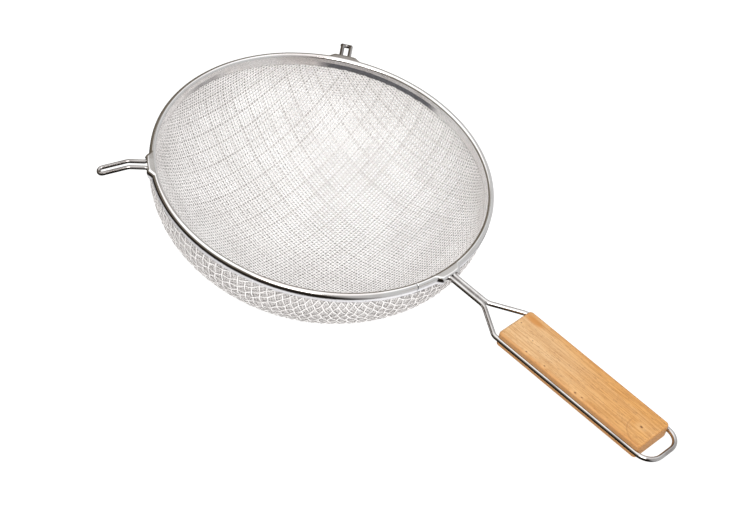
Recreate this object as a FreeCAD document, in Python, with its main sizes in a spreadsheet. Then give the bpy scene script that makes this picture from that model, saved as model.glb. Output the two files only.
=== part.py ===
import FreeCAD, Part
import Sketcher
import math
import os
import re

# Double-mesh wire strainer: two woven bowls, one inside the other, are pinched
# by a rolled rim band over a round hoop. A bent wire carries the wooden grip,
# and two small wire loops opposite it rest on the edge of a pot.
# The model is drawn with the bowl's axis along Z and the rim's top at height 0,
# the grip along X, and is then tipped until the grip's end meets the table.

doc = FreeCAD.newDocument("WireStrainer")

# Driving dimensions in millimetres and degrees.
SIZES = {
    "rim_radius": 130.0,
    "band_sheet": 0.5,
    "outer_leg": 6.5,
    "inner_leg": 9.0,
    "seam_azimuth": -13.0,
    "seam_gap": 0.4,
    "hoop_wire": 3.4,
    "hoop_clear": 0.3,
    "leg_clear": 0.2,
    "mesh_gap": 0.3,
    "edge_gap": 0.4,
    "outer_weave": 2.0,
    "inner_weave": 1.85,
    "outer_sheet": 0.3,
    "inner_sheet": 0.22,
    "bowl_depth": 100.0,
    "knuckle_radius": 55.0,
    "collar_depth": 9.0,
    "foot_gap": 0.3,
    "foot_reach": 7.6,
    "foot_bend": 3.5,
    "bulge_cover": 1.0,
    "slot_clear": 0.3,
    "cut_over": 1.0,
    "handle_wire": 3.7,
    "handle_pair": 4.0,
    "neck_length": 64.0,
    "fork_run": 27.0,
    "fork_bend": 10.0,
    "throat_run": 2.5,
    "grip_length": 133.0,
    "grip_width": 36.0,
    "grip_thick": 12.5,
    "grip_corner": 3.0,
    "grip_edge": 1.75,
    "groove_inset": 0.1,
    "groove_clear": 0.15,
    "loop_reach": 12.5,
    "loop_bend": 12.4,
    "rest_wire": 3.0,
    "rest_pair": 6.4,
    "rest_azimuth": 127.5,
    "rest_straight": 16.0,
    "rest_slope": 22.5,
    "rest_bend": 6.0,
    "left_droop_angle": 22.0,
    "right_droop_angle": 40.0,
}

sheet = doc.addObject("Spreadsheet::Sheet", "Sizes")
for row, (name, number) in enumerate(SIZES.items(), start=1):
    sheet.set(f"A{row}", name)
    sheet.set(f"B{row}", str(number))
    sheet.setAlias(f"B{row}", name)
doc.recompute()


def bound(text):
    """The expression with each size name pointing at its cell."""
    return re.sub(r"\b(?!pi\b)[a-z]\w*\b(?!\()", r"Sizes.\g<0>", text)


def value(text):
    """The number that the sheet gives for an expression."""
    return float(FreeCAD.Units.Quantity(sheet.evalExpression(bound(text))).Value)


# Places that several pieces share, as expressions of the driving dimensions.
BEAD = "(hoop_wire / 2 + hoop_clear + band_sheet)"
HOOP_RING = f"(rim_radius - {BEAD})"
MESH_TOP = f"({BEAD} + hoop_wire / 2 + edge_gap)"
COLLAR = "(rim_radius - band_sheet - leg_clear)"
FLANGE = f"({COLLAR} - outer_weave - mesh_gap - inner_weave - leg_clear)"
KNUCKLE_X = f"({COLLAR} - knuckle_radius)"
DROP = "(bowl_depth - collar_depth)"
DISH = f"(({KNUCKLE_X} ^ 2 + {DROP} ^ 2 - knuckle_radius ^ 2) / (2 * ({DROP} - knuckle_radius)))"
DISH_Z = f"({DISH} - bowl_depth)"
GRIP_FRONT = "(rim_radius + neck_length)"
GROOVE_Y = "(grip_width / 2 - groove_inset)"


def foot_ring(wire):
    """Radius of the circle on which a wire's bent foot lies against the hoop."""
    return f"({HOOP_RING} + hoop_wire / 2 + foot_gap + {wire} / 2)"


def new_body(label):
    """An empty body named after its piece."""
    body = doc.addObject("PartDesign::Body", label)
    body.Label = label
    return body


def new_sketch(body, name, role, lift="0", turn="0", about=(0, 0, 1)):
    """A sketch on one of the body's origin planes, lifted off it and turned."""
    plane = next(f for f in body.Origin.OriginFeatures if f.Role == role)
    sketch = body.newObject("Sketcher::SketchObject", name)
    sketch.AttachmentSupport = [(plane, "")]
    sketch.MapMode = "FlatFace"
    spin = FreeCAD.Rotation(FreeCAD.Vector(*about), value(turn))
    sketch.AttachmentOffset = FreeCAD.Placement(FreeCAD.Vector(0, 0, value(lift)), spin)
    sketch.setExpression("AttachmentOffset.Base.z", bound(lift))
    return sketch


def hold(sketch, kind, geometry, point, text):
    """Fix one coordinate of a point to an expression."""
    if text == "0":
        axis = -2 if kind == "DistanceX" else -1
        sketch.addConstraint(Sketcher.Constraint("PointOnObject", geometry, point, axis))
        return
    rule = Sketcher.Constraint(kind, -1, 1, geometry, point, value(text))
    index = sketch.addConstraint(rule)
    sketch.setExpression(f"Constraints[{index}]", bound(text))


def outline(sketch, corners):
    """A closed outline; a corner (x, y, radius, cx, cy) starts an arc about (cx, cy)."""
    ends = []
    for here, after in zip(corners, corners[1:] + corners[:1]):
        first = FreeCAD.Vector(value(here[0]), value(here[1]), 0)
        last = FreeCAD.Vector(value(after[0]), value(after[1]), 0)
        if len(here) == 2:
            edge = sketch.addGeometry(Part.LineSegment(first, last), False)
            ends.append((edge, 1, 2))
            continue
        centre = FreeCAD.Vector(value(here[3]), value(here[4]), 0)
        start = math.atan2(first.y - centre.y, first.x - centre.x)
        stop = math.atan2(last.y - centre.y, last.x - centre.x)
        forward = (stop - start) % (2 * math.pi) < math.pi
        low, high = (start, stop) if forward else (stop, start)
        circle = Part.Circle(centre, FreeCAD.Vector(0, 0, 1), value(here[2]))
        edge = sketch.addGeometry(Part.ArcOfCircle(circle, low, high), False)
        ends.append((edge, 1, 2) if forward else (edge, 2, 1))
        index = sketch.addConstraint(Sketcher.Constraint("Radius", edge, value(here[2])))
        sketch.setExpression(f"Constraints[{index}]", bound(here[2]))
    for (edge, _, last), (following, first, _) in zip(ends, ends[1:] + ends[:1]):
        sketch.addConstraint(Sketcher.Constraint("Coincident", edge, last, following, first))
    for corner, (edge, first, _) in zip(corners, ends):
        hold(sketch, "DistanceX", edge, first, corner[0])
        hold(sketch, "DistanceY", edge, first, corner[1])


def turned(body, kind, name, sketch, angle, both_ways):
    """A Revolution or Groove of a section about the bowl's axis."""
    feature = body.newObject("PartDesign::" + kind, name)
    feature.Profile = sketch
    feature.ReferenceAxis = (sketch, ["V_Axis"])
    feature.Midplane = both_ways
    feature.setExpression("Angle", angle)
    body.Tip = feature
    doc.recompute()
    return feature


def woven_bowl(label, outside, thickness):
    """A thin bowl of revolution: straight collar, knuckle arc and shallow dish."""
    inside = f"({outside} + {thickness})"
    share = f"({DISH} - knuckle_radius)"

    def meeting(offset):
        across = f"{KNUCKLE_X} * ({DISH} - {offset}) / {share}"
        up = f"{DISH_Z} - ({DISH} - {offset}) * (collar_depth + {DISH_Z}) / {share}"
        return across, up

    corners = [
        ("0", f"{outside} - bowl_depth", f"{DISH} - {outside}", "0", DISH_Z),
        (*meeting(outside), f"knuckle_radius - {outside}", KNUCKLE_X, "-collar_depth"),
        (f"{COLLAR} - {outside}", "-collar_depth"),
        (f"{COLLAR} - {outside}", f"-{MESH_TOP}"),
        (f"{COLLAR} - {inside}", f"-{MESH_TOP}"),
        (f"{COLLAR} - {inside}", "-collar_depth",
         f"knuckle_radius - {inside}", KNUCKLE_X, "-collar_depth"),
        (*meeting(inside), f"{DISH} - {inside}", "0", DISH_Z),
        ("0", f"{inside} - bowl_depth"),
    ]
    body = new_body(label)
    section = new_sketch(body, label + "_section", "XZ_Plane")
    outline(section, corners)
    turned(body, "Revolution", label + "_bowl", section, "360", False)
    return body


# Each woven bowl is a sheet that weighs as much as the weave, on the weave's free face:
# the outer one on the outside of the coarse weave, the inner one inside the fine weave.
INNER_FACE = "(outer_weave + mesh_gap + inner_weave - inner_sheet)"
outer_mesh = woven_bowl("outer_mesh", "0", "outer_sheet")
inner_mesh = woven_bowl("inner_mesh", INNER_FACE, "inner_sheet")

# The rim band is one strip of sheet rolled over the hoop. Its short outer leg
# and long inner leg pinch both meshes, and its ends meet in an open butt seam.
rim_band = new_body("rim_band")
band_section = new_sketch(rim_band, "band_section", "XZ_Plane", "0",
                          "seam_azimuth", about=(0, 1, 0))
CHANNEL = f"({BEAD} - band_sheet)"
outline(band_section, [
    ("rim_radius", "-outer_leg"),
    ("rim_radius", f"-{BEAD}", BEAD, HOOP_RING, f"-{BEAD}"),
    (HOOP_RING, "0", BEAD, HOOP_RING, f"-{BEAD}"),
    (f"{HOOP_RING} - {BEAD}", f"-{BEAD}"),
    (f"{FLANGE} - band_sheet", f"-{MESH_TOP}"),
    (f"{FLANGE} - band_sheet", "-inner_leg"),
    (FLANGE, "-inner_leg"),
    (FLANGE, f"-{MESH_TOP}"),
    (f"{HOOP_RING} - {CHANNEL}", f"-{BEAD}", CHANNEL, HOOP_RING, f"-{BEAD}"),
    (HOOP_RING, "-band_sheet", CHANNEL, HOOP_RING, f"-{BEAD}"),
    (f"{HOOP_RING} + {CHANNEL}", f"-{BEAD}"),
    (f"{HOOP_RING} + {CHANNEL}", "-outer_leg"),
])
open_turn = bound("360 - seam_gap / rim_radius * 180 / pi")
turned(rim_band, "Revolution", "band_ring", band_section, open_turn, False)


def bulge(name, azimuth, wire, pair):
    """Swell the band outwards over a wire's feet and slot it for the two legs."""
    ring = foot_ring(wire)
    swell = f"({wire} / 2 + hoop_clear + band_sheet)"
    roof = f"({swell} - {BEAD})"
    half = bound(f"2 * asin((foot_reach + bulge_cover) / {ring})")
    reach = "(rim_radius + cut_over)"
    below = "-(outer_leg + cut_over)"
    solid_before = rim_band.Shape.Volume

    window = new_sketch(rim_band, name + "_window", "XZ_Plane", "0", azimuth, about=(0, 1, 0))
    outline(window, [(HOOP_RING, below), (reach, below), (reach, "-band_sheet"), (HOOP_RING, "-band_sheet")])
    turned(rim_band, "Groove", name + "_opening", window, half, True)
    assert rim_band.Shape.Volume < solid_before, name + " opening cuts nothing"

    arch = new_sketch(rim_band, name + "_arch", "XZ_Plane", "0", azimuth, about=(0, 1, 0))
    outline(arch, [
        (HOOP_RING, "0"),
        (ring, roof, swell, ring, f"-{BEAD}"),
        (f"{ring} + {swell}", f"-{BEAD}"),
        (f"{ring} + {swell}", "-outer_leg"),
        (f"{ring} + {swell} - band_sheet", "-outer_leg"),
        (f"{ring} + {swell} - band_sheet", f"-{BEAD}", f"{swell} - band_sheet", ring, f"-{BEAD}"),
        (ring, f"{roof} - band_sheet"),
        (HOOP_RING, "-band_sheet"),
    ])
    turned(rim_band, "Revolution", name + "_bridge", arch, half, True)

    solid_before = rim_band.Shape.Volume
    side = f"({pair} / 2 + foot_bend + slot_clear)"
    beyond = f"({ring} + {swell} + cut_over)"
    slot = new_sketch(rim_band, name + "_slot", "XY_Plane", f"{roof} - band_sheet", azimuth)
    outline(slot, [(ring, f"-{side}"), (beyond, f"-{side}"), (beyond, side), (ring, side)])
    exit_slot = rim_band.newObject("PartDesign::Pocket", name + "_exit")
    exit_slot.Profile = slot
    exit_slot.Type = "Length"
    exit_slot.setExpression("Length", bound("outer_leg + cut_over"))
    rim_band.Tip = exit_slot
    doc.recompute()
    assert rim_band.Shape.Volume < solid_before, name + " slot cuts nothing"


bulge("handle_bulge", "0", "handle_wire", "handle_pair")
bulge("left_bulge", "-rest_azimuth", "rest_wire", "rest_pair")
bulge("right_bulge", "rest_azimuth", "rest_wire", "rest_pair")

# A closed round hoop stiffens the rim inside the band's bead.
rim_hoop = doc.addObject("Part::Torus", "rim_hoop")
rim_hoop.Label = "rim_hoop"
rim_hoop.setExpression("Radius1", bound(HOOP_RING))
rim_hoop.setExpression("Radius2", bound("hoop_wire / 2"))
rim_hoop.Placement.Base.z = -value(BEAD)

# The grip is a flat wooden block with eased edges. A round groove runs along
# each side at mid-height, and the handle wire springs into the two grooves.
grip = new_body("grip")
block = new_sketch(grip, "block", "XY_Plane", f"-{BEAD}")
GRIP_REAR = f"({GRIP_FRONT} + grip_length)"
SIDE = "(grip_width / 2)"
near = f"({GRIP_FRONT} + grip_corner)"
far = f"({GRIP_REAR} - grip_corner)"
flank = f"({SIDE} - grip_corner)"
outline(block, [
    (near, f"-{SIDE}"),
    (far, f"-{SIDE}", "grip_corner", far, f"-{flank}"),
    (GRIP_REAR, f"-{flank}"),
    (GRIP_REAR, flank, "grip_corner", far, flank),
    (far, SIDE),
    (near, SIDE, "grip_corner", near, flank),
    (GRIP_FRONT, flank),
    (GRIP_FRONT, f"-{flank}", "grip_corner", near, f"-{flank}"),
])
slab = grip.newObject("PartDesign::Pad", "slab")
slab.Profile = block
slab.SideType = "Symmetric"
slab.setExpression("Length", bound("grip_thick"))
doc.recompute()
levels = [value(f"grip_thick / 2 - {BEAD}"), value(f"-grip_thick / 2 - {BEAD}")]
rims = [f"Edge{i}" for i, edge in enumerate(slab.Shape.Edges, start=1)
        if edge.BoundBox.ZLength < 1e-6 and min(abs(edge.CenterOfMass.z - z) for z in levels) < 1e-6]
eased = grip.newObject("PartDesign::Fillet", "eased")
eased.Base = (slab, rims)
eased.setExpression("Radius", bound("grip_edge"))
doc.recompute()
grooves = new_sketch(grip, "grooves", "YZ_Plane")
for side in (f"-{GROOVE_Y}", GROOVE_Y):
    centre = FreeCAD.Vector(value(side), -value(BEAD), 0)
    bore = "handle_wire / 2 + groove_clear"
    circle = Part.Circle(centre, FreeCAD.Vector(0, 0, 1), value(bore))
    channel = grooves.addGeometry(circle, False)
    index = grooves.addConstraint(Sketcher.Constraint("Radius", channel, value(bore)))
    grooves.setExpression(f"Constraints[{index}]", bound(bore))
    hold(grooves, "DistanceX", channel, 3, side)
    hold(grooves, "DistanceY", channel, 3, f"-{BEAD}")
before = grip.Shape.Volume
channels = grip.newObject("PartDesign::Pocket", "channels")
channels.Profile = grooves
channels.Type = "ThroughAll"
channels.SideType = "Symmetric"
grip.Tip = channels
doc.recompute()
assert grip.Shape.Volume < before, "grip grooves cut nothing"


def bent_wire(label, corners, bends, diameter):
    """A round wire along straight runs joined by tangent bends."""
    points = [FreeCAD.Vector(*corner) for corner in corners]
    edges = []
    start = points[0]
    for before, corner, after, bend in zip(points, points[1:], points[2:], bends):
        inward = (before - corner).normalize()
        onward = (after - corner).normalize()
        half_turn = (math.pi - inward.getAngle(onward)) / 2
        back = bend * math.tan(half_turn)
        middle = (inward + onward).normalize()
        apex = corner + middle * (bend / math.cos(half_turn) - bend)
        entry = corner + inward * back
        leave = corner + onward * back
        if (entry - start).Length > 1e-6:
            edges.append(Part.LineSegment(start, entry).toShape())
        edges.append(Part.Arc(entry, apex, leave).toShape())
        start = leave
    edges.append(Part.LineSegment(start, points[-1]).toShape())
    path = Part.Wire(edges)
    heading = points[1] - points[0]
    ring = Part.Wire(Part.makeCircle(diameter / 2, points[0], heading))
    wire = doc.addObject("Part::Feature", label)
    wire.Label = label
    wire.Shape = path.makePipeShell([ring], True, False)
    expected = math.pi * diameter ** 2 / 4 * path.Length
    assert abs(wire.Shape.Volume / expected - 1) < 1e-3, label + " sweep is off"
    return wire


def mirrored(half):
    """A path's half followed by its own mirror image across the XZ plane."""
    return half + [(x, -y, z) for x, y, z in reversed(half)]


def foot_start(wire):
    """The foot's free end on its circle, at the wire plane's height."""
    reach = value("foot_reach")
    return (math.sqrt(value(foot_ring(wire)) ** 2 - reach ** 2), reach, -value(BEAD))


# One wire makes the handle: feet under the band, two legs side by side, a fork
# to the grip's grooves, and a round hanging loop past the grip's end.
plane = -value(BEAD)
throat = value(f"{GRIP_FRONT} - throat_run")
fork = value(f"{GRIP_FRONT} - fork_run")
lean = math.atan2(value(f"{GROOVE_Y} - handle_pair / 2"), throat - fork)
throat_bend = value("throat_run - slot_clear") / math.tan(lean / 2)
handle_half = [
    foot_start("handle_wire"),
    (value(foot_ring("handle_wire")), value("handle_pair / 2"), plane),
    (fork, value("handle_pair / 2"), plane),
    (throat, value(GROOVE_Y), plane),
    (value(f"{GRIP_REAR} + loop_reach"), value(GROOVE_Y), plane),
]
half_bends = [value("foot_bend"), value("fork_bend"), throat_bend, value("loop_bend")]
handle_wire = bent_wire("handle_wire", mirrored(handle_half),
                        half_bends + half_bends[::-1], value("handle_wire"))


def rest_loop(label, azimuth, droop):
    """A wire hairpin with feet under the band, straight out and then drooping."""
    angle = math.radians(value(droop))
    knee = value("rim_radius + rest_straight")
    across = value("rest_pair / 2")
    run = value("rest_slope")
    half = [
        foot_start("rest_wire"),
        (value(foot_ring("rest_wire")), across, plane),
        (knee, across, plane),
        (knee + run * math.cos(angle), across, plane - run * math.sin(angle)),
    ]
    turn = FreeCAD.Rotation(FreeCAD.Vector(0, 0, 1), value(azimuth))
    corners = [turn.multVec(FreeCAD.Vector(*corner)) for corner in mirrored(half)]
    bends = [value("foot_bend"), value("rest_bend"), across]
    return bent_wire(label, corners, bends + bends[::-1], value("rest_wire"))


rest_loop_left = rest_loop("rest_loop_left", "-rest_azimuth", "left_droop_angle")
rest_loop_right = rest_loop("rest_loop_right", "rest_azimuth", "right_droop_angle")
doc.recompute()


def tip_angle(across, up, rounding):
    """Tilt at which a rounded end of the handle reaches the dish's table plane."""
    height = value(DISH_Z) - up
    lever = math.hypot(across, height)
    return math.asin((value(DISH) - rounding) / lever) - math.atan2(height, across)


# At rest the dish and the lower of the grip's end and the hanging loop touch
# the table. The origin is the dish's point of contact.
tilt = min(
    tip_angle(value(f"{GRIP_REAR} - grip_edge"), plane - value("grip_thick / 2 - grip_edge"),
              value("grip_edge")),
    tip_angle(value(f"{GRIP_REAR} + loop_reach"), plane, value("handle_wire / 2")),
)
lift = FreeCAD.Vector(-value(DISH_Z) * math.sin(tilt), 0,
                      value(DISH) - value(DISH_Z) * math.cos(tilt))
at_rest = FreeCAD.Placement(lift, FreeCAD.Rotation(FreeCAD.Vector(0, 1, 0), math.degrees(tilt)))

pieces = [inner_mesh, outer_mesh, rim_band, rim_hoop, handle_wire, grip,
          rest_loop_left, rest_loop_right]
for piece in pieces:
    piece.Placement = at_rest.multiply(piece.Placement)
doc.recompute()

for thing in doc.Objects:
    assert not {"Invalid", "Error"} & set(thing.State), thing.Label + " failed"
for piece in pieces:
    assert not piece.Shape.isNull() and piece.Shape.isValid(), piece.Label + " has no valid shape"
    assert len(piece.Shape.Solids) == 1, piece.Label + " is not one solid"

os.makedirs("parts", exist_ok=True)
for piece in pieces:
    piece.Shape.exportStep(f"parts/{piece.Label}.step")
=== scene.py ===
import math

import bpy
import numpy as np
from mathutils import Matrix


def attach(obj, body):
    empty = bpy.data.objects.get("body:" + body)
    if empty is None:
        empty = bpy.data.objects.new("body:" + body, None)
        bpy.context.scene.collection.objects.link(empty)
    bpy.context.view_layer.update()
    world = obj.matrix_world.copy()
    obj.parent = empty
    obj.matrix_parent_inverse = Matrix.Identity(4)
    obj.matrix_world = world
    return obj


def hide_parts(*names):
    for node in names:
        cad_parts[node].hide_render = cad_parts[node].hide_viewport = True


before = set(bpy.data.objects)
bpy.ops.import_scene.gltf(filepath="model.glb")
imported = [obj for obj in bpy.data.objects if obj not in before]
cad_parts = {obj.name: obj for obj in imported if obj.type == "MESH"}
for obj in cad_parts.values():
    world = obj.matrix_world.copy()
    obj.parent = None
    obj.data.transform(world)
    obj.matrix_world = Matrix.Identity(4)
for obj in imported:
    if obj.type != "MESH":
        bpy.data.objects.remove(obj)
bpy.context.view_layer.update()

# Fine mesh: the inner bowl, woven plain from bright tinned wire at ten wires
# to the inch and drawn into a round bowl, so the squares shear into lozenges
# on the diagonals. Its cut edge is pinched under the rim band.
RIM_RADIUS = 130.0
COLLAR_RADIUS = 129.3
COLLAR_DEPTH = 9.0
BOWL_DEPTH = 100.0
KNUCKLE_RADIUS = 55.0
FINE_PITCH = 2.54
FINE_WIRE = 1.4
FINE_CRIMP = 0.29
FINE_DEPTH_IN = 3.225
EDGE_HEIGHT = -4.95

knuckle_x = COLLAR_RADIUS - KNUCKLE_RADIUS
wall_drop = BOWL_DEPTH - COLLAR_DEPTH
dish_radius = (knuckle_x ** 2 + wall_drop ** 2 - KNUCKLE_RADIUS ** 2) / (2 * (wall_drop - KNUCKLE_RADIUS))
dish_height = dish_radius - BOWL_DEPTH

# The strainer stands on the bottom of its bowl and on the rear lower edge of
# its grip, so the tilt follows from the bowl's dish and the grip's far end.
GRIP_START = 64.0
GRIP_LENGTH = 133.0
GRIP_THICKNESS = 12.5
GRIP_DROP = 2.5
EASED_EDGE = 1.75
grip_end_x = RIM_RADIUS + GRIP_START + GRIP_LENGTH - EASED_EDGE
grip_end_drop = dish_height + GRIP_DROP + GRIP_THICKNESS / 2 - EASED_EDGE
grip_end_reach = math.hypot(grip_end_x, grip_end_drop)
REST_TILT = math.asin((dish_radius - EASED_EDGE) / grip_end_reach) - math.atan2(grip_end_drop, grip_end_x)
rest_turn = np.array([
    [math.cos(REST_TILT), 0, math.sin(REST_TILT)],
    [0, 1, 0],
    [-math.sin(REST_TILT), 0, math.cos(REST_TILT)],
])
rest_shift = np.array([-dish_height * math.sin(REST_TILT), 0,
                       dish_radius - dish_height * math.cos(REST_TILT)])


def standing(points):
    """Points about the bowl's axis, in millimetres, turned and lifted to rest, in metres."""
    return (points @ rest_turn.T + rest_shift) / 1000


def bowl_profile(run, inward):
    """Radius, height, outward normal and the wall's start at a run along the bowl from its lowest point.
    The line is a dish arc, then a tangent knuckle arc, then a straight collar, all moved inwards."""
    dish = dish_radius - inward
    knuckle = KNUCKLE_RADIUS - inward
    meet = math.atan2(knuckle_x, COLLAR_DEPTH + dish_height)
    dish_run = dish * meet
    wall_run = dish_run + knuckle * (math.pi / 2 - meet)
    lean = np.where(run < dish_run, run / dish, meet + (run - dish_run) / knuckle)
    lean = np.minimum(lean, math.pi / 2)
    radius = np.where(run < dish_run, dish * np.sin(lean), knuckle_x + knuckle * np.sin(lean))
    dish_line = dish_height - dish * np.cos(lean)
    knuckle_line = -COLLAR_DEPTH - knuckle * np.cos(lean)
    height = np.where(run < dish_run, dish_line, knuckle_line) + np.maximum(run - wall_run, 0)
    return radius, height, np.sin(lean), -np.cos(lean), wall_run


def draped(across, along, inward):
    """A flat square weave laid in the bowl: points, normals and the run to each point.
    On the two thread directions the run and the spacing are kept; between them the
    crossings slide together sideways and the run grows so that threads keep their length."""
    stride, longest = 0.5, 260.0
    steps = np.arange(stride, longest, stride)
    axis_radius = bowl_profile(steps, inward)[0]
    crowd = steps / axis_radius - 1
    long_run = steps.copy()
    for _ in range(12):
        squeeze = bowl_profile(long_run, inward)[0] / steps * (1 - crowd)
        long_run = np.cumsum(np.sqrt(np.maximum(2 - squeeze ** 2, 0.2))) * stride
    flat = np.hypot(across, along)
    turn = np.arctan2(along, across)
    run = flat + np.interp(flat, steps, long_run - steps) * (1 - np.cos(4 * turn)) / 2
    turn = turn + np.interp(flat, steps, np.minimum(crowd, 0.8)) * np.sin(4 * turn) / 4
    radius, height, out, up, _ = bowl_profile(run, inward)
    points = np.stack([radius * np.cos(turn), radius * np.sin(turn), height], -1)
    normals = np.stack([out * np.cos(turn), out * np.sin(turn), up], -1)
    return points, normals, run


def new_piece(name, corners, sizes, points, uv=None, facing=None):
    """A mesh object from whole arrays: points, the corners of all faces, and each face's size."""
    mesh = bpy.data.meshes.new(name)
    mesh.vertices.add(len(points))
    mesh.vertices.foreach_set("co", points.astype(np.float32).ravel())
    mesh.loops.add(len(corners))
    mesh.loops.foreach_set("vertex_index", corners.astype(np.int32))
    mesh.polygons.add(len(sizes))
    mesh.polygons.foreach_set("loop_start", (np.cumsum(sizes) - sizes).astype(np.int32))
    mesh.polygons.foreach_set("loop_total", sizes.astype(np.int32))
    mesh.update(calc_edges=True)
    mesh.validate()
    if uv is not None:
        layer = mesh.uv_layers.new(name="OFBake")
        layer.data.foreach_set("uv", uv.astype(np.float32).ravel())
    if facing is not None:
        layer = mesh.attributes.new("facing", "FLOAT", "POINT")
        layer.data.foreach_set("value", facing.astype(np.float32))
    mesh.polygons.foreach_set("use_smooth", np.full(len(sizes), True))
    piece = bpy.data.objects.new(name, mesh)
    bpy.context.scene.collection.objects.link(piece)
    return piece


def woven_threads(name, inward, pitch, wire, crimp, shares, sides, threads, crosswise, seed):
    """The threads of one direction as round tubes.
    A thread is a line of the flat weave; it rises and falls by its crimp as a cosine of
    one pitch, the other way round from its neighbour, and is cut off at the collar's edge.
    Each point keeps how far it faces out of the bowl, from -1 inside to 1 outside."""
    stray, sway, sway_length, longest_thread = 0.035, 0.05, 31, 215
    jitter = np.random.default_rng(seed).normal(0, stray * pitch, threads.shape)
    half = int(longest_thread / pitch) * shares
    stations = np.arange(-half, half + 1) / shares
    line, station = np.meshgrid(threads, stations, indexing="ij")
    along = station * pitch
    aside = line * pitch + jitter[:, None] + sway * pitch * np.sin(along / sway_length + line)
    flip = np.where(np.round(line) % 2 == 0, 1, -1) * (-1 if crosswise else 1)
    rise = flip * crimp * np.cos(math.pi * station)
    points, normals, run = draped(aside if crosswise else along, along if crosswise else aside, inward)
    top = bowl_profile(np.zeros(1), inward)[4] + COLLAR_DEPTH + EDGE_HEIGHT
    held = run <= top
    heading = np.gradient(points, axis=1)
    heading /= np.linalg.norm(heading, axis=-1, keepdims=True)
    level = np.cross(heading, normals)
    level /= np.linalg.norm(level, axis=-1, keepdims=True)
    around = np.arange(sides) * 2 * math.pi / sides
    outwards, sidewards = normals[..., None, :], level[..., None, :]
    ring = outwards * np.cos(around)[:, None] + sidewards * np.sin(around)[:, None]
    skin = points[..., None, :] + outwards * rise[..., None, None] + ring * wire / 2
    number = np.arange(held.size * sides).reshape(*held.shape, sides)
    joined = held[:, :-1] & held[:, 1:]
    here, there = number[:, :-1][joined], number[:, 1:][joined]
    quads = np.stack([here, there, np.roll(there, -1, 1), np.roll(here, -1, 1)], -1).reshape(-1, 4)
    before = np.pad(held, ((0, 0), (1, 0)))[:, :-1]
    after = np.pad(held, ((0, 0), (0, 1)))[:, 1:]
    starts = number[held & ~before]
    stops = number[held & ~after][:, ::-1]
    corners = np.concatenate([quads.ravel(), starts.ravel(), stops.ravel()])
    sizes = np.concatenate([np.full(len(quads), 4), np.full(len(starts) + len(stops), sides)])
    used, corners = np.unique(corners, return_inverse=True)
    strip = np.arange(len(threads))[:, None, None] + 0.1 + 0.8 * np.abs(np.arange(sides) / sides * 2 - 1)
    length_share = np.broadcast_to(station[..., None], number.shape) / (2 * half / shares) + 0.5
    strip_share = np.broadcast_to(strip / len(threads), number.shape)
    uv = np.stack([length_share, strip_share], -1).reshape(-1, 2)[used][corners.ravel()]
    facing = np.broadcast_to(np.cos(around), number.shape).reshape(-1)[used]
    return new_piece(name, corners.ravel(), sizes, standing(skin.reshape(-1, 3)[used]), uv, facing)


class Tone:
    """One socket of a material's nodes. Arithmetic adds Math nodes; make adds any other node."""

    def __init__(self, tree, socket=None):
        self.tree = tree
        self.socket = socket

    def make(self, kind, settings=None, sockets=None, out=0):
        node = self.tree.nodes.new(kind)
        for name, setting in (settings or {}).items():
            setattr(node, name, setting)
        for name, given in (sockets or {}).items():
            if isinstance(given, Tone):
                self.tree.links.new(given.socket, node.inputs[name])
            else:
                node.inputs[name].default_value = given
        return Tone(self.tree, node.outputs[out])

    def math(self, operation, *terms):
        return self.make("ShaderNodeMath", {"operation": operation}, dict(enumerate(terms)))

    def __add__(self, other):
        return self.math("ADD", self, other)

    __radd__ = __add__

    def __sub__(self, other):
        return self.math("SUBTRACT", self, other)

    def __rsub__(self, other):
        return self.math("SUBTRACT", other, self)

    def __mul__(self, other):
        return self.math("MULTIPLY", self, other)

    __rmul__ = __mul__

    def __truediv__(self, other):
        return self.math("DIVIDE", self, other)

    def __pow__(self, other):
        return self.math("POWER", self, other)

    def clip(self):
        return self.make("ShaderNodeClamp", None, {"Value": self})

    def step(self, low, high):
        return self.make("ShaderNodeMapRange", {"interpolation_type": "SMOOTHSTEP"},
                         {"Value": self, "From Min": low, "From Max": high})

    def blend(self, first, second):
        colours = {"Factor": self, 6: first, 7: second}
        return self.make("ShaderNodeMix", {"data_type": "RGBA"}, colours, 2)


def finish_of(name, **constants):
    """A new material: its tone maker, its shader and its place in space."""
    material = bpy.data.materials.new(name)
    material.use_nodes = True
    shader = material.node_tree.nodes["Principled BSDF"]
    for socket, number in constants.items():
        shader.inputs[socket.replace("_", " ")].default_value = number
    tone = Tone(material.node_tree)
    place = tone.make("ShaderNodeTexCoord", None, None, 3)
    return material, tone, shader, place


def feed(shader, **tones):
    """Links tones to the shader's sockets."""
    for socket, tone in tones.items():
        tone.tree.links.new(tone.socket, shader.inputs[socket.replace("_", " ")])


def grey(number, warm=0.0):
    """A grey, a little warmer or cooler."""
    return (number * (1 + warm), number, number * (1 - 0.4 * warm), 1)


tinned, tone, shader, place = finish_of("tinned_fine_wire", Metallic=0.3)
cloud = tone.make("ShaderNodeTexNoise", None, {"Vector": place, "Scale": 38.0, "Detail": 4.0})
speck = tone.make("ShaderNodeTexNoise", None, {"Vector": place, "Scale": 900.0, "Detail": 2.0})
shine = (cloud * 0.7 + speck * 0.3).step(0.35, 0.65)
facing = tone.make("ShaderNodeAttribute", {"attribute_name": "facing"}, None, 2)
# Painted shade: where facing is near zero, on the tubes' flanks, the wire is painted near black, and the
# outward half of each tube is painted a little darker; the noise greys are the wire's own tone.
crown = tone.math("ABSOLUTE", facing).step(0.02, 0.55) * (1 - 0.08 * facing.step(-0.2, 0.8))
feed(shader,
     Base_Color=crown.blend(grey(0.10, 0.05), shine.blend(grey(0.83, 0.03), grey(0.94, 0.02))),
     Roughness=0.32 + 0.16 * speck)

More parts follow.
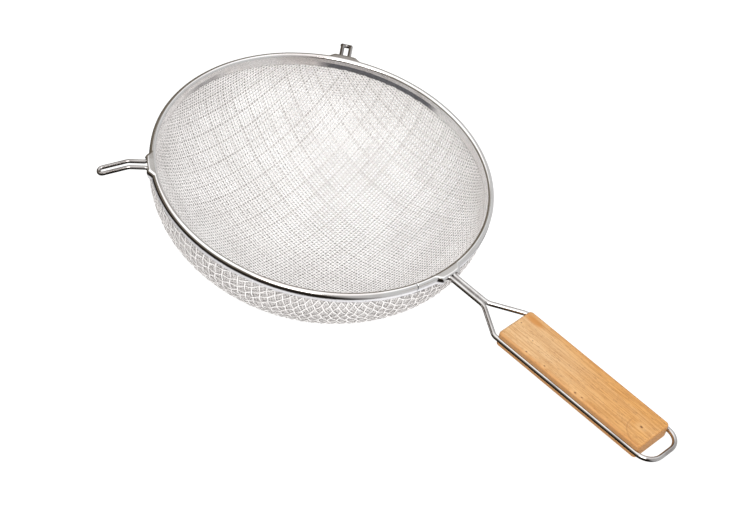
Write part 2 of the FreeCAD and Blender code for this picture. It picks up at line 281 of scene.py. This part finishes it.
fine_lines = np.arange(-84, 85)
for name, lines, crosswise, seed in (
    ("fine_warp_near", fine_lines[:85], False, 11),
    ("fine_warp_far", fine_lines[85:], False, 12),
    ("fine_weft_back", fine_lines[:85], True, 13),
    ("fine_weft_front", fine_lines[85:], True, 14),
):
    threads = woven_threads(name, FINE_DEPTH_IN, FINE_PITCH, FINE_WIRE, FINE_CRIMP,
                            shares=2, sides=5, threads=lines, crosswise=crosswise, seed=seed)
    threads.data.materials.append(tinned)
    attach(threads, "root")
    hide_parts("inner_mesh")

# Coarse mesh: the outer bowl of thicker wire at four wires to the inch. It
# carries the fine mesh from outside and is pinched under the same band.
COARSE_PITCH = 6.35
COARSE_WIRE = 1.12
COARSE_CRIMP = 0.5
COARSE_DEPTH_IN = 1.12

sturdy, tone, shader, place = finish_of("tinned_coarse_wire", Metallic=0.15)
cloud = tone.make("ShaderNodeTexNoise", None, {"Vector": place, "Scale": 26.0, "Detail": 5.0})
speck = tone.make("ShaderNodeTexNoise", None, {"Vector": place, "Scale": 700.0, "Detail": 2.0})
shine = (cloud * 0.7 + speck * 0.3).step(0.34, 0.66)
facing = tone.make("ShaderNodeAttribute", {"attribute_name": "facing"}, None, 2)
# Painted shade: the tubes' flanks, where facing is near zero, are painted dark grey; the noise greys are
# the wire's own tone.
crown = tone.math("ABSOLUTE", facing).step(0.02, 0.6)
feed(shader,
     Base_Color=crown.blend(grey(0.24, 0.04), shine.blend(grey(0.88, 0.03), grey(0.97, 0.02))),
     Roughness=0.26 + 0.18 * speck)

coarse_lines = np.arange(-34, 35)
for name, crosswise, seed in (("coarse_warp", False, 21), ("coarse_weft", True, 22)):
    threads = woven_threads(name, COARSE_DEPTH_IN, COARSE_PITCH, COARSE_WIRE, COARSE_CRIMP,
                            shares=4, sides=8, threads=coarse_lines, crosswise=crosswise, seed=seed)
    threads.data.materials.append(sturdy)
    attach(threads, "root")
    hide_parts("outer_mesh")

# Rim band: one strip of polished sheet rolled over the hoop, its short outer
# leg and long inner leg pinching both meshes. It swells over the feet of the
# handle wire and of the two rests, and its ends meet in an open butt seam.
SHEET = 0.5
BEAD = 2.5
HOOP_RING = RIM_RADIUS - BEAD
OUTER_LEG = 6.5
INNER_LEG = 9.0
FLANGE_RADIUS = 124.7
SEAM_TURN = math.radians(-13.0)
SEAM_GAP = 0.4
REST_TURN = math.radians(127.5)


def soft_step(number, low, high):
    """A smooth rise from 0 at low to 1 at high."""
    share = np.clip((number - low) / (high - low), 0, 1)
    return share * share * (3 - 2 * share)


def rolled_band(rounds=1200, inner_points=16, outer_points=20):
    """The band as a section carried round the rim.
    The section runs up the inner leg, over the bead's inner quarter, across the crown, which is
    as wide as the swelling, down the outer quarter and the outer leg, and stops short over the
    wires. Both faces of the sheet stand half its thickness off that line."""
    gap = SEAM_GAP / RIM_RADIUS
    turn = SEAM_TURN + gap / 2 + np.linspace(0, 2 * math.pi - gap, rounds)
    swell = np.zeros(rounds)
    open_lip = np.zeros(rounds)
    for centre, reach, slot in ((0.0, 4.0, 4.1), (-REST_TURN, 3.3, 4.9), (REST_TURN, 3.3, 4.9)):
        aside = np.abs((turn - centre + math.pi) % (2 * math.pi) - math.pi) * RIM_RADIUS
        swell = np.maximum(swell, reach * (1 - soft_step(aside, 7.2, 13.0)))
        open_lip = np.maximum(open_lip, 1 - soft_step(aside, slot, slot + 5.5))
    half = BEAD - SHEET / 2
    wave = 0.18 * np.sin(turn * 61) + 0.14 * np.sin(turn * 97 + 1.0) + 0.1 * np.sin(turn * 23 + 2.0)

    share = np.linspace(0, 1, inner_points)[None, :]
    low = (-INNER_LEG + 0.3 + wave)[:, None]
    crease, leg_end, bend_end = -4.9, 0.3, 0.45
    rise = np.clip(share / leg_end, 0, 1)
    bend = np.clip((share - leg_end) / (bend_end - leg_end), 0, 1)
    curl = np.clip((share - bend_end) / (1 - bend_end), 0, 1) * math.pi / 2
    leg_height = low + (crease - low) * rise
    in_radius = np.where(share <= leg_end, FLANGE_RADIUS + 0 * low,
                         FLANGE_RADIUS + (HOOP_RING - half - FLANGE_RADIUS) * bend)
    in_height = np.where(share <= leg_end, leg_height, crease + (-BEAD - crease) * bend)
    in_radius = np.where(share > bend_end, HOOP_RING - half * np.cos(curl), in_radius)
    in_height = np.where(share > bend_end, -BEAD + half * np.sin(curl), in_height)
    in_out = np.where(share > bend_end, -np.cos(curl), -1.0) + 0 * low
    in_up = np.where(share > bend_end, np.sin(curl), 0.0) + 0 * low

    crown = swell[:, None]
    quarter = half * math.pi / 2
    lip_wave = 0.12 * np.sin(turn * 41) + 0.08 * np.sin(turn * 17 + 0.5) - 0.2
    full = crown + quarter + OUTER_LEG - BEAD + lip_wave[:, None]
    short = crown + half * 0.72
    length = (full + (short - full) * open_lip[:, None]) * np.linspace(0, 1, outer_points + 1)[None, 1:]
    lean = np.clip((length - crown) / half, 0, math.pi / 2)
    out_radius = HOOP_RING + np.minimum(length, crown) + half * np.sin(lean)
    out_height = -BEAD + half * np.cos(lean) - np.maximum(length - crown - quarter, 0)

    radius = np.concatenate([in_radius, out_radius], 1)
    height = np.concatenate([in_height, out_height], 1)
    out = np.concatenate([in_out, np.sin(lean)], 1)
    up = np.concatenate([in_up, np.cos(lean)], 1)
    radius = np.concatenate([radius + out * SHEET / 2, (radius - out * SHEET / 2)[:, ::-1]], 1)
    height = np.concatenate([height + up * SHEET / 2, (height - up * SHEET / 2)[:, ::-1]], 1)
    dent = 0.06 * np.sin(turn * 7 + 0.4) + 0.05 * np.sin(turn * 19 + 1.7)
    height = height + np.minimum(dent, 0)[:, None] - 0.02
    points = np.stack([radius * np.cos(turn)[:, None], radius * np.sin(turn)[:, None], height], -1)
    count = radius.shape[1]
    number = np.arange(rounds * count).reshape(rounds, count)
    here, there = number[:-1], number[1:]
    quads = np.stack([here, np.roll(here, -1, 1), np.roll(there, -1, 1), there], -1).reshape(-1, 4)
    ends = np.concatenate([number[0][::-1], number[-1]])
    corners = np.concatenate([quads.ravel(), ends])
    sizes = np.concatenate([np.full(len(quads), 4), np.full(2, count)])
    return new_piece("rolled_rim_band", corners, sizes, standing(points.reshape(-1, 3)))


polished, tone, shader, place = finish_of("polished_band")
home = tuple(rest_turn.T @ (-rest_shift / 1000))
upright_place = {"Location": home, "Rotation": (0, -REST_TILT, 0)}
bowl_place = tone.make("ShaderNodeMapping", None, {"Vector": place, **upright_place})
out_x = tone.make("ShaderNodeSeparateXYZ", None, {"Vector": bowl_place}, 0)
out_y = Tone(tone.tree, out_x.socket.node.outputs[1])
height = Tone(tone.tree, out_x.socket.node.outputs[2]) * 1000
radius = tone.math("SQRT", out_x ** 2 + out_y ** 2) * 1000
smear = tone.make("ShaderNodeTexNoise", None, {"Vector": place, "Scale": 22.0, "Detail": 3.0})
grain = tone.make("ShaderNodeTexNoise", None, {"Vector": place, "Scale": 480.0, "Detail": 3.0})
patch = smear.step(0.42, 0.68)
outer_leg = radius.step(128.2, 128.8) * (1 - height.step(-4.6, -3.2))
inner_leg = (1 - radius.step(125.6, 126.2)) * (1 - height.step(-5.0, -4.0))


def bloom(turn, spread):
    """A soft stretch of the band about one direction from the bowl's axis, in degrees."""
    turn, spread = math.radians(turn), math.radians(spread)
    across = (out_x * math.cos(turn) + out_y * math.sin(turn)) * 1000 / radius
    edge = math.cos(spread)
    return (across + (smear - 0.5) * 0.05).step(edge - 0.02, edge + 0.03)


# Painted reflection: two stretches of the inner leg, about 112 and 183 degrees round, are painted near
# black-blue in place of dark reflections.
painted_dark_reflection = inner_leg * (bloom(112.0, 23.0) + bloom(183.0, 7.0)).clip()
clean = patch.blend(grey(0.78, 0.01), grey(0.64, 0.06))
# Painted reflection: the outer leg is painted pale lavender and made less metallic and rougher, in place
# of the floor's reflection in it.
steel = outer_leg.blend(clean, (0.84, 0.83, 0.86, 1))
feed(shader,
     Base_Color=(painted_dark_reflection * 0.9).blend(steel, (0.08, 0.085, 0.10, 1)),
     Metallic=1 - outer_leg * 0.65,
     Roughness=0.08 + 0.08 * patch + 0.06 * grain + 0.12 * outer_leg)
ripple = tone.make("ShaderNodeBump", None,
                   {"Strength": 0.08, "Distance": 0.0004, "Height": smear + 0.2 * grain})
feed(shader, Normal=ripple)
band = rolled_band()
band.data.materials.append(polished)
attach(band, "root")
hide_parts("rim_band")

# Wires: the closed hoop in the band's bead, the handle wire that is bent into
# two legs, a fork and a hanging loop, and the two hairpin rests. All are plated
# steel wire with faint drawing lines; the rests get a darker, warmer copy of the
# same finish, which is painted shade.
for finish_name, nodes, clear, dull in (
    ("plated_wire", ("rim_hoop", "handle_wire"), grey(0.60, 0.02), grey(0.38, 0.07)),
    ("rest_wire_painted_shade", ("rest_loop_left", "rest_loop_right"), grey(0.44, 0.05), grey(0.24, 0.10)),
):
    plated, tone, shader, place = finish_of(finish_name, Metallic=1.0)
    tarnish = tone.make("ShaderNodeTexNoise", None, {"Vector": place, "Scale": 60.0, "Detail": 4.0})
    drawn = tone.make("ShaderNodeTexNoise", None, {"Vector": place, "Scale": 1100.0, "Detail": 2.0})
    worn = tarnish.step(0.45, 0.72)
    lines = tone.make("ShaderNodeBump", None, {"Strength": 0.06, "Distance": 0.0003, "Height": drawn})
    feed(shader,
         Base_Color=worn.blend(clear, dull),
         Roughness=0.04 + 0.07 * worn + 0.05 * drawn,
         Normal=lines)
    for node in nodes:
        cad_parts[node].data.materials.clear()
        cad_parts[node].data.materials.append(plated)

# Grip: a flat block of pale hardwood with eased edges and a round groove along
# each side. The grain runs lengthwise, with short dark pores, a tight knot near
# the rear end and slightly browner, more open end grain.
GRIP_HALF_WIDTH = 18.0
grip_front = RIM_RADIUS + GRIP_START
grip_rear = grip_front + GRIP_LENGTH

hardwood, tone, shader, place = finish_of("pale_hardwood")
block = tone.make("ShaderNodeMapping", None, {"Vector": place, **upright_place})
axes = tone.make("ShaderNodeSeparateXYZ", None, {"Vector": block})
lengthways = axes * 1000
sideways = Tone(tone.tree, axes.socket.node.outputs[1]) * 1000
upwards = Tone(tone.tree, axes.socket.node.outputs[2]) * 1000


def lying_along(stretch, scale, detail=3.0, shift=0.0):
    """Noise drawn out along the grain by a stretch."""
    spot = tone.make("ShaderNodeCombineXYZ", None,
                     {"X": lengthways / stretch + shift, "Y": sideways, "Z": upwards})
    return tone.make("ShaderNodeTexNoise", None, {"Vector": spot, "Scale": scale, "Detail": detail})


def away_from(x, y, squash=1.0):
    """Distance along the face from a point of the block, squashed sideways."""
    return tone.math("SQRT", (lengthways - x) ** 2 + (squash * (sideways - y)) ** 2)


swirl = lying_along(16.0, 0.14, 2.0)
years = sideways * 0.9 + upwards * 1.3 + swirl * 16.0
rings = tone.math("SINE", years * 2.2) * 0.5 + 0.5
streak = lying_along(30.0, 1.1, 4.0)
fibre = lying_along(45.0, 4.5, 2.0, 11.0)
pores = lying_along(7.0, 2.0, 1.0, 3.0).step(0.62, 0.72)
mottle = lying_along(3.0, 0.12, 3.0, 7.0)
towards_rear = lengthways.step(205.0, 305.0) * 0.8 + sideways.step(4.0, 18.0) * 0.5
rear = (towards_rear + (mottle - 0.5) * 0.9).clip()
pale = rear.blend((0.69, 0.445, 0.228, 1), (0.65, 0.335, 0.10, 1))
dark = rear.blend((0.50, 0.265, 0.10, 1), (0.43, 0.185, 0.04, 1))
figure = (0.12 * rings + 0.5 * streak + 0.38 * fibre).step(0.36, 0.64)
wood = (figure * 0.78).blend(pale, dark)
off_middle = tone.math("ABSOLUTE", sideways)
worn_edge = (off_middle + 6.0 * (mottle - 0.5)).step(GRIP_HALF_WIDTH - 4.0, GRIP_HALF_WIDTH + 0.5)
wood = (worn_edge * 0.75).blend(wood, (0.52, 0.235, 0.065, 1))
wood = (pores * 0.75).blend(wood, (0.30, 0.14, 0.05, 1))
ring_line = away_from(323.0, -0.5) + (mottle - 0.5) * 2.0
ring_line = ring_line.step(15.6, 16.5) * (1 - ring_line.step(16.6, 17.6))
ring_line = ring_line * (1 - sideways.step(-4.0, 4.0))
wood = (ring_line * 0.5).blend(wood, (0.36, 0.16, 0.05, 1))
flame = (1 - (away_from(203.0, 11.5, 3.0) + (swirl - 0.5) * 8.0).step(3.0, 12.0)) * 0.85
wood = flame.blend(wood, (0.52, 0.21, 0.04, 1))
for x, y, size, depth in (
    (315.9, -1.5, 1.15, 1.0), (198.1, 2.6, 0.75, 0.85), (214.9, -3.9, 0.7, 0.75), (219.0, -15.5, 0.9, 0.9),
    (236.0, -15.0, 0.75, 0.85), (266.0, -16.0, 1.0, 0.9), (272.0, -15.6, 0.8, 0.8),
):
    dot = away_from(x, y, 1.4)
    halo = dot.step(size, size * 1.8) * (1 - dot.step(size * 2.0, size * 6.0))
    wood = (halo * 0.3).blend(wood, (0.78, 0.50, 0.24, 1))
    wood = ((1 - dot.step(size * 0.6, size * 1.1)) * depth).blend(wood, (0.16, 0.07, 0.03, 1))
# Painted shade: the block's side faces are painted a darker brown.
flank = off_middle.step(GRIP_HALF_WIDTH - 1.8, GRIP_HALF_WIDTH - 0.2) * (1 - upwards.step(2.2, 3.7))
wood = (flank * 0.75).blend(wood, (0.37, 0.18, 0.065, 1))
rear_end = lengthways.step(grip_rear - 1.0, grip_rear - 0.2)
end = rear_end + 1 - lengthways.step(grip_front + 0.2, grip_front + 1.0)
wood = (end * 0.6).blend(wood, (0.43, 0.19, 0.055, 1))
ridges = fibre * 0.5 - pores * 0.5 + streak * 0.3
feed(shader,
     Base_Color=wood,
     Roughness=0.46 + 0.14 * streak + 0.1 * pores,
     Normal=tone.make("ShaderNodeBump", None, {"Strength": 0.25, "Distance": 0.0004, "Height": ridges}))
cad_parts["grip"].data.materials.clear()
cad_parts["grip"].data.materials.append(hardwood)

# Studio: a plain pale floor, a surround that is bright overhead and dark round
# the horizon, a broad soft lamp beside the camera and a low pale card under it.
FLOOR_HALF = 6.0
floor_mesh = bpy.data.meshes.new("studio_floor")
floor_mesh.from_pydata([(-FLOOR_HALF, -FLOOR_HALF, 0), (FLOOR_HALF, -FLOOR_HALF, 0),
                        (FLOOR_HALF, FLOOR_HALF, 0), (-FLOOR_HALF, FLOOR_HALF, 0)], [], [(0, 1, 2, 3)])
floor = bpy.data.objects.new("studio_floor", floor_mesh)
bpy.context.scene.collection.objects.link(floor)
paper, tone, shader, place = finish_of("studio_paper", Roughness=0.9)
shader.inputs["Base Color"].default_value = (0.2, 0.2, 0.2, 1)
shader.inputs["Emission Color"].default_value = (1, 1, 1, 1)
shader.inputs["Emission Strength"].default_value = 0.92
floor_mesh.materials.append(paper)
floor.visible_glossy = False

world = bpy.data.worlds.new("studio_surround")
bpy.context.scene.world = world
world.use_nodes = True
sky = Tone(world.node_tree)
way = sky.make("ShaderNodeTexCoord", None, None, 0)
east = sky.make("ShaderNodeSeparateXYZ", None, {"Vector": way}, 0)
north = Tone(sky.tree, east.socket.node.outputs[1])
height = Tone(sky.tree, east.socket.node.outputs[2])
beyond = north * 0.717 - east * 0.696
right = east * 0.73 + north * 0.683
band_top = 0.62 + 0.2 * beyond.step(-0.1, 0.35)
side_light = right.step(0.15, 0.5)
gap = (1 - (height - band_top).step(-0.08, 0.08)) * (1 - side_light)
heaven = height.step(0.55, 0.95).blend((0.85, 0.85, 0.85, 1), (1.9, 1.9, 1.9, 1))
shade = height.step(-0.15, 0.1).blend((0.02, 0.017, 0.014, 1), (0.24, 0.205, 0.16, 1))
surround = gap.blend(heaven, shade)
backdrop = world.node_tree.nodes["Background"]
world.node_tree.links.new(surround.socket, backdrop.inputs["Color"])
backdrop.inputs["Strength"].default_value = 0.8

for lamp_name, power, size, spot, mirrored in (
    ("soft_lamp", 27.0, 1.2, (1.4, -1.45, 1.75), True),
    ("low_card", 10.0, 0.9, (0.95, -1.0, 0.16), False),
):
    lamp = bpy.data.lights.new(lamp_name, "AREA")
    lamp.energy = power
    lamp.size = size
    lamp_object = bpy.data.objects.new(lamp_name, lamp)
    lamp_object.location = spot
    lamp_object.rotation_euler = (-lamp_object.location).to_track_quat("-Z", "Y").to_euler()
    lamp_object.visible_camera = False
    lamp_object.visible_glossy = mirrored
    bpy.context.scene.collection.objects.link(lamp_object)

scene = bpy.context.scene
scene.view_settings.view_transform = "Standard"
camera = bpy.data.cameras.new("photo_camera")
SENSOR_WIDTH = 36.0
FOCAL_LENGTH_PIXELS = 2500
PICTURE_WIDTH_PIXELS = 749
camera.sensor_width = SENSOR_WIDTH
camera.lens = SENSOR_WIDTH * FOCAL_LENGTH_PIXELS / PICTURE_WIDTH_PIXELS
camera_object = bpy.data.objects.new("photo_camera", camera)
CAMERA_SPOT = (1.11328, -1.11076, 1.08364)
looking = np.array([-0.57746, 0.59488, -0.55916])
rightwards = np.array([0.72951, 0.68347, -0.02624])
upright = np.cross(rightwards, looking)
pose = np.eye(4)
pose[:3, 0] = rightwards / np.linalg.norm(rightwards)
pose[:3, 1] = upright / np.linalg.norm(upright)
pose[:3, 2] = -looking / np.linalg.norm(looking)
pose[:3, 3] = CAMERA_SPOT
camera_object.matrix_world = Matrix(pose.tolist())
scene.collection.objects.link(camera_object)
scene.camera = camera_object
